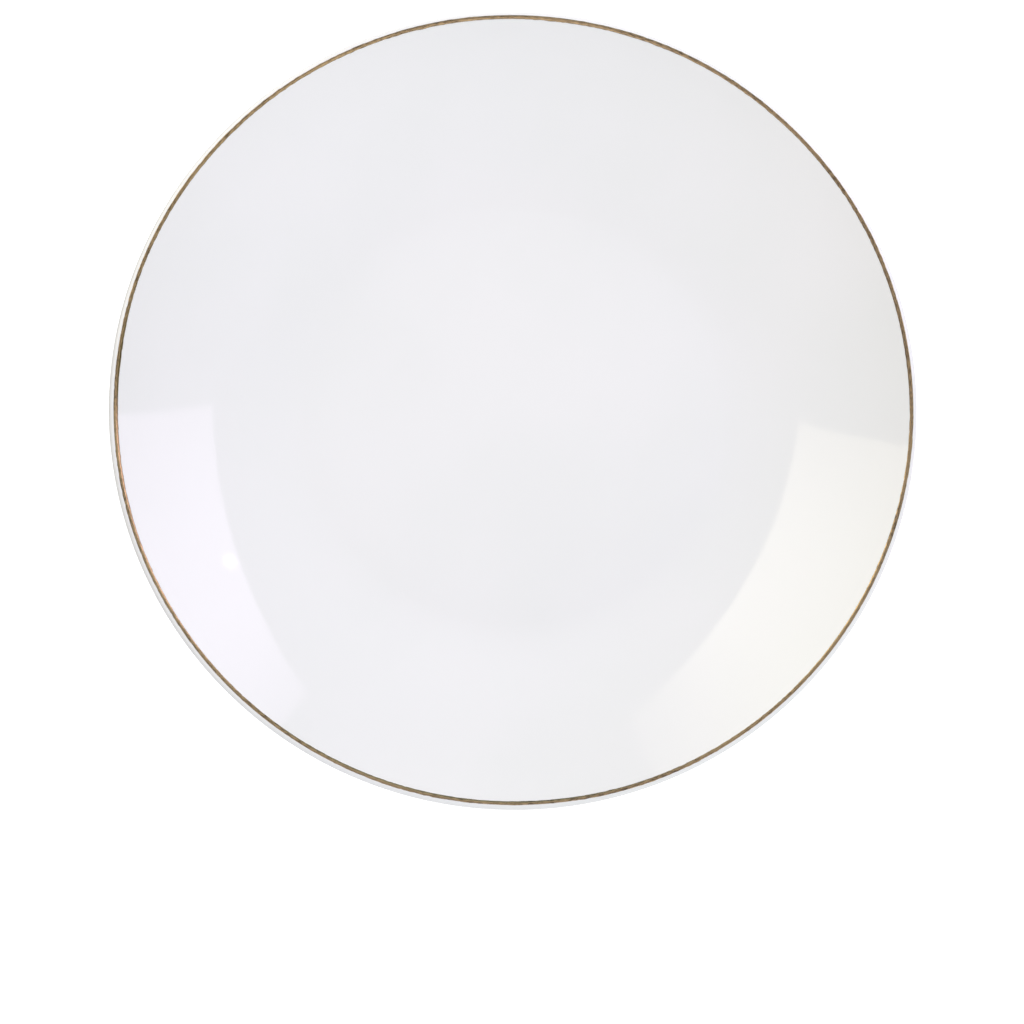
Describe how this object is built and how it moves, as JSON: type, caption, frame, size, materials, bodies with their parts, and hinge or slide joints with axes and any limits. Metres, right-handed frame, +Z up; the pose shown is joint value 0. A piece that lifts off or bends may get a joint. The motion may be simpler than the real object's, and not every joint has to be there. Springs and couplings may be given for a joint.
{
  "type": "dinner plate",
  "caption": "Round rimless coupe dinner plate in glazed white porcelain with a low bare foot ring and a fine gold line on the rounded lip.",
  "frame": {"origin": "centre of the foot ring, on the surface that the plate stands on", "axes": "+Z up along the plate's axis of turning, out of the face; the plate is the same all round"},
  "size_m": [0.267, 0.267, 0.0325],
  "materials": {
    "bare_porcelain": "matte",
    "white_glaze": "gloss",
    "fired_gold": "polished"
  },
  "bodies": {
    "root": {"porcelain_body": "bare_porcelain", "glaze_coat": "white_glaze", "foot_recess_glaze": "white_glaze", "gold_rim_line": "fired_gold"}
  },
  "joints": []
}
